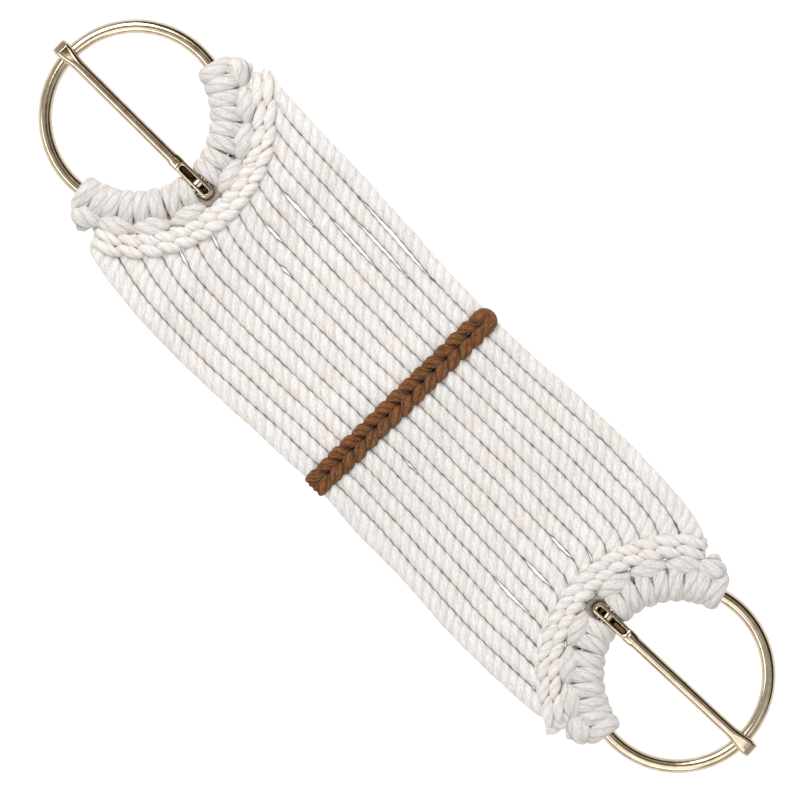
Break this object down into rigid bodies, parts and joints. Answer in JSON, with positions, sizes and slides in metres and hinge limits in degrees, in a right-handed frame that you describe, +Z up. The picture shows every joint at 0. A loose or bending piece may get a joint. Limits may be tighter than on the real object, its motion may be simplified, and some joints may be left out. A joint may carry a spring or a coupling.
{
  "type": "string girth",
  "caption": "Flat girth of parallel twisted cords hitched to a metal ring with a loose tongue at each end, with twined end rows and a coloured twined band across its middle.",
  "frame": {"origin": "middle of the girth, on the ground under it", "axes": "+X along the length from ring A to ring B, +Y across the body, +Z up"},
  "size_m": [0.4492, 0.1205, 0.0171],
  "materials": {
    "ring_metal": "polished nickel plate with a warm tint",
    "tongue_metal": "polished nickel plate with a warm tint",
    "body_cord": "three-ply twisted white cotton",
    "twining_cord": "soft white cotton roving",
    "band_cord": "brown wool cord"
  },
  "bodies": {
    "middle": {"cord_01": "body_cord", "cord_02": "body_cord", "cord_03": "body_cord", "cord_04": "body_cord", "cord_05": "body_cord", "cord_06": "body_cord", "cord_07": "body_cord", "cord_08": "body_cord", "cord_09": "body_cord", "cord_10": "body_cord", "cord_11": "body_cord", "cord_12": "body_cord", "cord_13": "body_cord", "cord_14": "body_cord", "cord_15": "body_cord", "band_row_a": "band_cord", "band_row_b": "band_cord", "band_turn": "band_cord", "band_tail": "band_cord"},
    "end_a": {"ring_a": "ring_metal", "hitch_a_1": "body_cord", "hitch_a_2": "body_cord", "hitch_a_3": "body_cord", "hitch_a_4": "body_cord", "hitch_a_5": "body_cord", "hitch_a_6": "body_cord", "hitch_a_7": "body_cord", "hitch_a_8": "body_cord", "twine_a_inner": "twining_cord", "twine_a_outer": "twining_cord", "fan_cords_a_low": "body_cord", "fan_cords_a_mid": "body_cord", "fan_cords_a_high": "body_cord"},
    "end_b": {"ring_b": "ring_metal", "hitch_b_1": "body_cord", "hitch_b_2": "body_cord", "hitch_b_3": "body_cord", "hitch_b_4": "body_cord", "hitch_b_5": "body_cord", "hitch_b_6": "body_cord", "hitch_b_7": "body_cord", "hitch_b_8": "body_cord", "twine_b_inner": "twining_cord", "twine_b_outer": "twining_cord", "fan_cords_b_low": "body_cord", "fan_cords_b_mid": "body_cord", "fan_cords_b_high": "body_cord"},
    "tongue_a": {"tongue_a": "tongue_metal"},
    "tongue_b": {"tongue_b": "tongue_metal"}
  },
  "joints": [
    {"name": "bend_a", "type": "hinge", "parent": "middle", "child": "end_a", "pos_m": [-0.062, 0, 0.0038], "axis": [0, 1, 0], "range_deg": [-60, 60]},
    {"name": "bend_b", "type": "hinge", "parent": "middle", "child": "end_b", "pos_m": [0.062, 0, 0.0038], "axis": [0, -1, 0], "range_deg": [-60, 60]},
    {"name": "tongue_a_swing", "type": "hinge", "parent": "end_a", "child": "tongue_a", "pos_m": [-0.13516, 0.00176, 0.00805], "axis": [-0.0192, 0.9998, 0], "range_deg": [0, 110]},
    {"name": "tongue_b_swing", "type": "hinge", "parent": "end_b", "child": "tongue_b", "pos_m": [0.13538, -0.00161, 0.00805], "axis": [0.0506, -0.9987, 0], "range_deg": [0, 110]}
  ]
}
